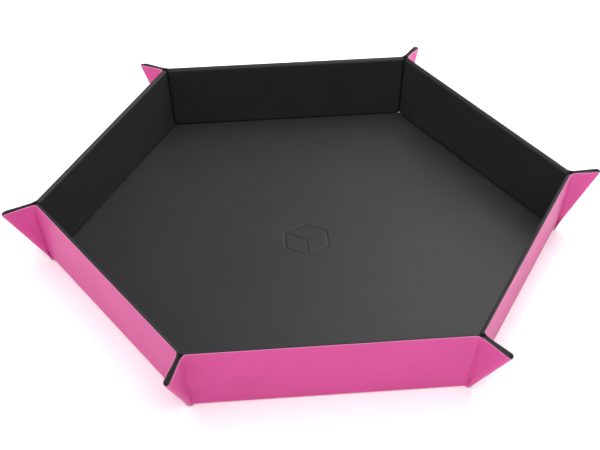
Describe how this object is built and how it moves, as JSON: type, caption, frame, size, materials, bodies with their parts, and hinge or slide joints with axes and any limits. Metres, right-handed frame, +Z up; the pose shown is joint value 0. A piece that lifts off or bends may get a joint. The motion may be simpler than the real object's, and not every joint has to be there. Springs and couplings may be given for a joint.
{
  "type": "folding dice tray",
  "caption": "Hexagonal snap-up dice tray: a soft-lined flat sheet whose walls fold up on creases and whose pinched corner ears hold by hidden magnets.",
  "frame": {"origin": "centre of the tray's underside, on the surface it rests on", "axes": "+Z up out of the tray's open top; two opposite corners of the hexagon lie on +X and -X; the walls numbered 2 and 5 face +Y and -Y"},
  "size_m": [0.2955, 0.259, 0.0348],
  "materials": {
    "outer_skin": "fine-grained matt synthetic leather, magenta pink",
    "lining": "short-napped microfibre, black",
    "board": "plain stiffener board, hidden between skin and lining",
    "magnet": "nickel-plated disc magnet, hidden"
  },
  "bodies": {
    "floor": {"floor_outer_skin": "outer_skin", "floor_board": "board", "floor_lining": "lining"},
    "wall_1": {"wall_1_outer_skin": "outer_skin", "wall_1_board": "board", "wall_1_lining": "lining"},
    "wall_2": {"wall_2_outer_skin": "outer_skin", "wall_2_board": "board", "wall_2_lining": "lining"},
    "wall_3": {"wall_3_outer_skin": "outer_skin", "wall_3_board": "board", "wall_3_lining": "lining"},
    "wall_4": {"wall_4_outer_skin": "outer_skin", "wall_4_board": "board", "wall_4_lining": "lining"},
    "wall_5": {"wall_5_outer_skin": "outer_skin", "wall_5_board": "board", "wall_5_lining": "lining"},
    "wall_6": {"wall_6_outer_skin": "outer_skin", "wall_6_board": "board", "wall_6_lining": "lining"},
    "ear_1_right": {"ear_1_right_outer_skin": "outer_skin", "ear_1_right_magnet": "magnet", "ear_1_right_lining": "lining"},
    "ear_1_left": {"ear_1_left_outer_skin": "outer_skin", "ear_1_left_magnet": "magnet", "ear_1_left_lining": "lining"},
    "ear_2_right": {"ear_2_right_outer_skin": "outer_skin", "ear_2_right_magnet": "magnet", "ear_2_right_lining": "lining"},
    "ear_2_left": {"ear_2_left_outer_skin": "outer_skin", "ear_2_left_magnet": "magnet", "ear_2_left_lining": "lining"},
    "ear_3_right": {"ear_3_right_outer_skin": "outer_skin", "ear_3_right_magnet": "magnet", "ear_3_right_lining": "lining"},
    "ear_3_left": {"ear_3_left_outer_skin": "outer_skin", "ear_3_left_magnet": "magnet", "ear_3_left_lining": "lining"},
    "ear_4_right": {"ear_4_right_outer_skin": "outer_skin", "ear_4_right_magnet": "magnet", "ear_4_right_lining": "lining"},
    "ear_4_left": {"ear_4_left_outer_skin": "outer_skin", "ear_4_left_magnet": "magnet", "ear_4_left_lining": "lining"},
    "ear_5_right": {"ear_5_right_outer_skin": "outer_skin", "ear_5_right_magnet": "magnet", "ear_5_right_lining": "lining"},
    "ear_5_left": {"ear_5_left_outer_skin": "outer_skin", "ear_5_left_magnet": "magnet", "ear_5_left_lining": "lining"},
    "ear_6_right": {"ear_6_right_outer_skin": "outer_skin", "ear_6_right_magnet": "magnet", "ear_6_right_lining": "lining"},
    "ear_6_left": {"ear_6_left_outer_skin": "outer_skin", "ear_6_left_magnet": "magnet", "ear_6_left_lining": "lining"}
  },
  "joints": [
    {"name": "wall_1_fold", "type": "hinge", "parent": "floor", "child": "wall_1", "pos_m": [0.0945, 0.05456, 0.0003], "axis": [-0.5, 0.866, 0], "range_deg": [0, 82.2]},
    {"name": "wall_2_fold", "type": "hinge", "parent": "floor", "child": "wall_2", "pos_m": [0, 0.10912, 0.0003], "axis": [-1, 0, 0], "range_deg": [0, 82.2]},
    {"name": "wall_3_fold", "type": "hinge", "parent": "floor", "child": "wall_3", "pos_m": [-0.0945, 0.05456, 0.0003], "axis": [-0.5, -0.866, 0], "range_deg": [0, 82.2]},
    {"name": "wall_4_fold", "type": "hinge", "parent": "floor", "child": "wall_4", "pos_m": [-0.0945, -0.05456, 0.0003], "axis": [0.5, -0.866, 0], "range_deg": [0, 82.2]},
    {"name": "wall_5_fold", "type": "hinge", "parent": "floor", "child": "wall_5", "pos_m": [0, -0.10912, 0.0003], "axis": [1, 0, 0], "range_deg": [0, 82.2]},
    {"name": "wall_6_fold", "type": "hinge", "parent": "floor", "child": "wall_6", "pos_m": [0.0945, -0.05456, 0.0003], "axis": [0.5, 0.866, 0], "range_deg": [0, 82.2]},
    {"name": "ear_1_right_fold", "type": "hinge", "parent": "wall_1", "child": "ear_1_right", "pos_m": [0.12516, 0.00145, 0.0003], "axis": [-0.1562, 0, -0.9877], "range_deg": [0, 74.31]},
    {"name": "ear_2_left_fold", "type": "hinge", "parent": "wall_1", "child": "ear_2_left", "pos_m": [0.06384, 0.10767, 0.0003], "axis": [0.0781, 0.1353, 0.9877], "range_deg": [0, 61.31]},
    {"name": "ear_2_right_fold", "type": "hinge", "parent": "wall_2", "child": "ear_2_right", "pos_m": [0.06133, 0.10912, 0.0003], "axis": [-0.0781, -0.1353, -0.9877], "range_deg": [0, 59.31]},
    {"name": "ear_3_left_fold", "type": "hinge", "parent": "wall_2", "child": "ear_3_left", "pos_m": [-0.06133, 0.10912, 0.0003], "axis": [-0.0781, 0.1353, 0.9877], "range_deg": [0, 41.31]},
    {"name": "ear_3_right_fold", "type": "hinge", "parent": "wall_3", "child": "ear_3_right", "pos_m": [-0.06384, 0.10767, 0.0003], "axis": [0.0781, -0.1353, -0.9877], "range_deg": [0, 79.31]},
    {"name": "ear_4_left_fold", "type": "hinge", "parent": "wall_3", "child": "ear_4_left", "pos_m": [-0.12516, 0.00145, 0.0003], "axis": [-0.1562, 0, 0.9877], "range_deg": [0, 48.31]},
    {"name": "ear_4_right_fold", "type": "hinge", "parent": "wall_4", "child": "ear_4_right", "pos_m": [-0.12516, -0.00145, 0.0003], "axis": [0.1562, 0, -0.9877], "range_deg": [0, 72.31]},
    {"name": "ear_5_left_fold", "type": "hinge", "parent": "wall_4", "child": "ear_5_left", "pos_m": [-0.06384, -0.10767, 0.0003], "axis": [-0.0781, -0.1353, 0.9877], "range_deg": [0, 54.31]},
    {"name": "ear_5_right_fold", "type": "hinge", "parent": "wall_5", "child": "ear_5_right", "pos_m": [-0.06133, -0.10912, 0.0003], "axis": [0.0781, 0.1353, -0.9877], "range_deg": [0, 66.31]},
    {"name": "ear_6_left_fold", "type": "hinge", "parent": "wall_5", "child": "ear_6_left", "pos_m": [0.06133, -0.10912, 0.0003], "axis": [0.0781, -0.1353, 0.9877], "range_deg": [0, 48.31]},
    {"name": "ear_6_right_fold", "type": "hinge", "parent": "wall_6", "child": "ear_6_right", "pos_m": [0.06384, -0.10767, 0.0003], "axis": [-0.0781, 0.1353, -0.9877], "range_deg": [0, 72.31]},
    {"name": "ear_1_left_fold", "type": "hinge", "parent": "wall_6", "child": "ear_1_left", "pos_m": [0.12516, -0.00145, 0.0003], "axis": [0.1562, 0, 0.9877], "range_deg": [0, 46.31]}
  ],
  "couplings": [
    {"joint": "wall_2_fold", "follows": "wall_1_fold", "ratio": 1},
    {"joint": "wall_3_fold", "follows": "wall_1_fold", "ratio": 1},
    {"joint": "wall_4_fold", "follows": "wall_1_fold", "ratio": 1},
    {"joint": "wall_5_fold", "follows": "wall_1_fold", "ratio": 1},
    {"joint": "wall_6_fold", "follows": "wall_1_fold", "ratio": 1},
    {"joint": "ear_1_right_fold", "follows": "wall_1_fold", "ratio": 0.90396},
    {"joint": "ear_2_left_fold", "follows": "wall_1_fold", "ratio": 0.74581},
    {"joint": "ear_2_right_fold", "follows": "wall_1_fold", "ratio": 0.72148},
    {"joint": "ear_3_left_fold", "follows": "wall_1_fold", "ratio": 0.5025},
    {"joint": "ear_3_right_fold", "follows": "wall_1_fold", "ratio": 0.96479},
    {"joint": "ear_4_left_fold", "follows": "wall_1_fold", "ratio": 0.58766},
    {"joint": "ear_4_right_fold", "follows": "wall_1_fold", "ratio": 0.87963},
    {"joint": "ear_5_left_fold", "follows": "wall_1_fold", "ratio": 0.66065},
    {"joint": "ear_5_right_fold", "follows": "wall_1_fold", "ratio": 0.80664},
    {"joint": "ear_6_left_fold", "follows": "wall_1_fold", "ratio": 0.58766},
    {"joint": "ear_6_right_fold", "follows": "wall_1_fold", "ratio": 0.87963},
    {"joint": "ear_1_left_fold", "follows": "wall_1_fold", "ratio": 0.56333}
  ]
}
